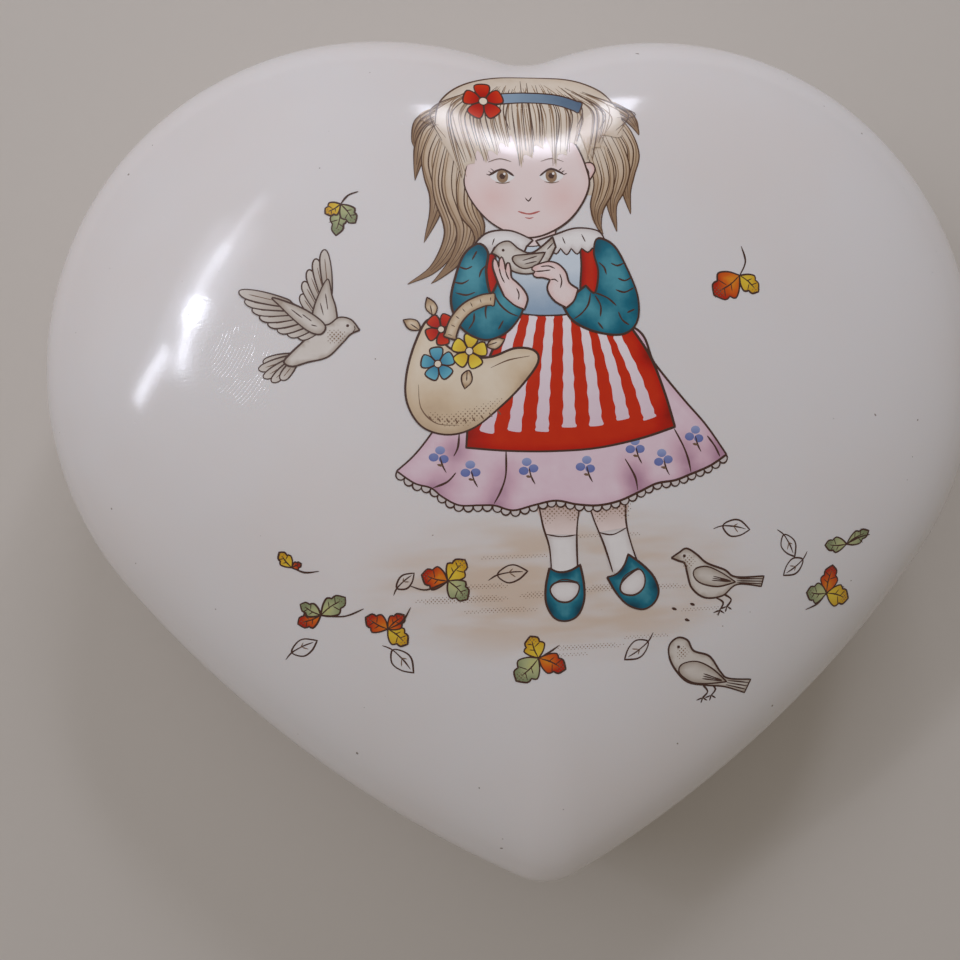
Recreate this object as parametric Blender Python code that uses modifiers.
"""Heart-shaped porcelain trinket box: a dish on a foot ring, and a domed lid that lifts off.

Metres, +Z up. The origin is on the table, under the middle of the heart's width and depth.
The heart is symmetric across X, its notch points to +Y and its tip to -Y. Each casting is one
skin lofted through heart-shaped rings, made for the +X half and mirrored.
"""

import math

import bmesh
import bpy
from mathutils import Vector

# The heart's outline at the rim, where dish and lid are widest.
HEART_WIDTH = 0.115
HEART_DEPTH = 0.103
LOBE_RADIUS = 0.040
FLANK_RADIUS = 0.140
TIP_RADIUS = 0.0072
NOTCH_RADIUS = 0.009

# The dish.
DISH_HEIGHT = 0.026
DISH_WALL = 0.0032
DISH_FLOOR = 0.0030
BELLY_HEIGHT = 0.012
CAVITY_ROUND = 0.009
FOOT_HEIGHT = 0.0015
FOOT_INSET = 0.0060
FOOT_WIDTH = 0.0030
FOOT_STEP = 0.0012

# The lid.
LID_SKIRT = 0.006
LID_RISE = 0.0157
LID_WALL = 0.0030
DOME_FULLNESS = 2.5
CROWN_RADIUS = 0.045
CROWN_SPREAD = 2.0
FLANGE_DEPTH = 0.0030
FLANGE_WIDTH = 0.0020

# Fits between the two, and the rounding of their rims.
RIM_GAP = 0.0003
FLANGE_CLEARANCE = 0.0006
EDGE_ROUND = 0.0006

# How finely round stretches are divided.
ARC_STEP = 0.0042
ARC_LEAST_STEPS = 4
DOME_STEPS = 13
INNER_DOME_STEPS = 8
BELLY_STEPS = 5
FLOOR_SHARES = (0.72, 0.36)
EDGE_STEPS = 2
MERGE = 0.00001

PORCELAIN = {"colour": (0.87, 0.86, 0.84, 1.0), "roughness": 0.15}


def clear_scene():
    """Remove whatever the file opened with."""
    for old in list(bpy.data.objects):
        bpy.data.objects.remove(old, do_unlink=True)


def lobe_centre():
    """Centre of the +X lobe's arc: it touches the heart's widest line and its top."""
    return Vector((HEART_WIDTH / 2 - LOBE_RADIUS, HEART_DEPTH / 2 - LOBE_RADIUS))


def arc(centre, radius, start, end):
    """Points along an arc between two angles, both ends included."""
    steps = max(ARC_LEAST_STEPS, math.ceil(abs(end - start) * radius / ARC_STEP))
    angles = (start + (end - start) * i / steps for i in range(steps + 1))
    return [centre + radius * Vector((math.cos(a), math.sin(a))) for a in angles]


def direction(start, end):
    """Angle of the line from start to end."""
    return math.atan2(end.y - start.y, end.x - start.x)


def flank_centre(lobe, tip):
    """Centre of the long flank arc, which the lobe's arc and the tip's arc touch from inside."""
    to_lobe = FLANK_RADIUS - LOBE_RADIUS
    to_tip = FLANK_RADIUS - TIP_RADIUS
    span = (lobe - tip).length
    along = (to_tip**2 - to_lobe**2 + span**2) / (2 * span)
    across = math.sqrt(to_tip**2 - along**2)
    unit = (lobe - tip) / span
    return tip + along * unit + across * Vector((-unit.y, unit.x))


def heart_half():
    """Outline of the +X half as (point, inward normal), from the notch round to the tip."""
    lobe = lobe_centre()
    tip = Vector((0.0, TIP_RADIUS - HEART_DEPTH / 2))
    flank = flank_centre(lobe, tip)
    reach = LOBE_RADIUS + NOTCH_RADIUS
    notch = Vector((0.0, lobe.y + math.sqrt(reach**2 - lobe.x**2)))

    into_notch = direction(notch, lobe)
    lobe_start = direction(lobe, notch)
    lobe_end = direction(flank, lobe)
    flank_end = direction(flank, tip)
    runs = [
        (notch, NOTCH_RADIUS, -math.pi / 2, into_notch, -1),
        (lobe, LOBE_RADIUS, lobe_start, math.pi / 2, 1),
        (lobe, LOBE_RADIUS, math.pi / 2, 0.0, 1),
        (lobe, LOBE_RADIUS, 0.0, lobe_end, 1),
        (flank, FLANK_RADIUS, lobe_end, flank_end, 1),
        (tip, TIP_RADIUS, flank_end, -math.pi / 2, 1),
    ]
    outline = []
    for centre, radius, start, end, side in runs:
        points = arc(centre, radius, start, end)
        if outline:
            points = points[1:]
        outline += [(p, side * (centre - p).normalized()) for p in points]
    return outline


OUTLINE = heart_half()
CENTRE = Vector((0.0, lobe_centre().y))


def ring(inset, share, height):
    """Half ring: the outline moved in by inset, shrunk to a share about CENTRE, at a height.

    A smaller ring is rounder: it turns from the heart into a circle towards the middle, so that
    a dome has no ridge from its tip and no fold from its notch.
    """
    points = []
    for point, inward in OUTLINE:
        arm = point - CENTRE
        reach = arm * (1 - inset / -arm.dot(inward))
        round_reach = arm.normalized() * (CROWN_RADIUS - inset)
        across = share * round_reach.lerp(reach, share**CROWN_SPREAD)
        points.append(Vector((across.x, CENTRE.y + across.y, height)))
    points[0].x = 0.0
    points[-1].x = 0.0
    return points


def quarter(inset, height, run, rise, steps):
    """Stations round a quarter ellipse, level at its start and upright at its end."""
    angles = [math.pi / 2 * i / steps for i in range(steps + 1)]
    return [(inset + run * math.sin(a), 1.0, height + rise * (1 - math.cos(a))) for a in angles]


def dome(inset, foot, rise, steps):
    """Stations up a dome, from its upright foot to the last ring before its crown."""
    turns = [math.pi / 2 * i / steps for i in range(1, steps + 1)]
    shares = [math.sin(a) ** (2 / DOME_FULLNESS) for a in turns]
    stations = [(inset, s, foot + rise * math.cos(a)) for s, a in zip(shares, turns)]
    return stations[::-1]


def dish_stations():
    """The dish's skin, from the middle of its underside round to the middle of its floor."""
    floor_top = FOOT_HEIGHT + DISH_FLOOR
    foot_inner = FOOT_INSET + FOOT_WIDTH
    tuck = FOOT_INSET - FOOT_STEP
    under = [(foot_inner, share, FOOT_HEIGHT) for share in FLOOR_SHARES[::-1]]
    foot = [
        (foot_inner, 1.0, FOOT_HEIGHT),
        (foot_inner, 1.0, 0.0),
        (FOOT_INSET, 1.0, 0.0),
        (FOOT_INSET, 1.0, FOOT_HEIGHT),
    ]
    belly = quarter(tuck, FOOT_HEIGHT, -tuck, BELLY_HEIGHT - FOOT_HEIGHT, BELLY_STEPS)
    shoulder = DISH_HEIGHT - EDGE_ROUND
    outer_edge = quarter(EDGE_ROUND, DISH_HEIGHT, -EDGE_ROUND, -EDGE_ROUND, EDGE_STEPS)[::-1]
    inner_edge = quarter(DISH_WALL - EDGE_ROUND, DISH_HEIGHT, EDGE_ROUND, -EDGE_ROUND, EDGE_STEPS)
    mouth = outer_edge + inner_edge + [(DISH_WALL, 1.0, (shoulder + BELLY_HEIGHT) / 2)]
    bowl = quarter(
        DISH_WALL + CAVITY_ROUND, floor_top, -CAVITY_ROUND, BELLY_HEIGHT - floor_top, BELLY_STEPS
    )[::-1]
    floor = [(DISH_WALL + CAVITY_ROUND, share, floor_top) for share in FLOOR_SHARES]
    return under + foot + belly + mouth + bowl + floor, FOOT_HEIGHT, floor_top


def lid_stations():
    """The lid's skin, from the crown of its hollow round to the crown of its dome."""
    rim = DISH_HEIGHT + RIM_GAP
    skirt_top = rim + LID_SKIRT
    flange_outer = DISH_WALL + FLANGE_CLEARANCE
    flange_inner = flange_outer + FLANGE_WIDTH
    flange_foot = rim - FLANGE_DEPTH
    hollow = dome(flange_inner, skirt_top, LID_RISE - LID_WALL, INNER_DOME_STEPS)[::-1]
    inner_edge = quarter(
        flange_inner - EDGE_ROUND, flange_foot, EDGE_ROUND, EDGE_ROUND, EDGE_STEPS
    )[::-1]
    outer_edge = quarter(flange_outer + EDGE_ROUND, flange_foot, -EDGE_ROUND, EDGE_ROUND, EDGE_STEPS)
    flange = inner_edge + outer_edge + [(flange_outer, 1.0, rim)]
    skirt = quarter(EDGE_ROUND, rim, -EDGE_ROUND, EDGE_ROUND, EDGE_STEPS)
    cap = dome(0.0, skirt_top, LID_RISE, DOME_STEPS)
    return hollow + flange + skirt + cap, skirt_top + LID_RISE - LID_WALL, skirt_top + LID_RISE


def loft(name, stations, first_height, last_height, material, collection):
    """Skin the half rings between two poles on the centre line, and mirror the skin across X."""
    shell = bmesh.new()
    rings = [[shell.verts.new(p) for p in ring(*station)] for station in stations]
    for lower, upper in zip(rings, rings[1:]):
        for i in range(len(OUTLINE) - 1):
            shell.faces.new((lower[i], lower[i + 1], upper[i + 1], upper[i]))
    for loop, height, turned in ((rings[0], first_height, False), (rings[-1], last_height, True)):
        pole = shell.verts.new((0.0, CENTRE.y, height))
        for near, far in zip(loop, loop[1:]):
            shell.faces.new((pole, near, far) if turned else (pole, far, near))
    bmesh.ops.reverse_faces(shell, faces=shell.faces)

    mesh = bpy.data.meshes.new(name)
    shell.to_mesh(mesh)
    shell.free()
    mesh.shade_smooth()
    mesh.set_sharp_from_angle(angle=math.radians(40))
    mesh.materials.append(material)
    part = bpy.data.objects.new(name, mesh)
    collection.objects.link(part)
    mirror = part.modifiers.new("Other half", "MIRROR")
    mirror.use_axis = (True, False, False)
    mirror.use_mirror_merge = True
    mirror.merge_threshold = MERGE
    return part


def porcelain(name):
    """Glazed white porcelain."""
    material = bpy.data.materials.new(name)
    material.use_nodes = True
    shader = material.node_tree.nodes["Principled BSDF"]
    shader.inputs["Base Color"].default_value = PORCELAIN["colour"]
    shader.inputs["Roughness"].default_value = PORCELAIN["roughness"]
    shader.inputs["Metallic"].default_value = 0.0
    return material


def build():
    """Make the box, with its lid resting in its dish."""
    clear_scene()
    box = bpy.data.collections.new("heart_trinket_box")
    bpy.context.scene.collection.children.link(box)
    loft("base_dish", *dish_stations(), porcelain("dish_porcelain"), box)
    loft("lid", *lid_stations(), porcelain("lid_porcelain"), box)


build()
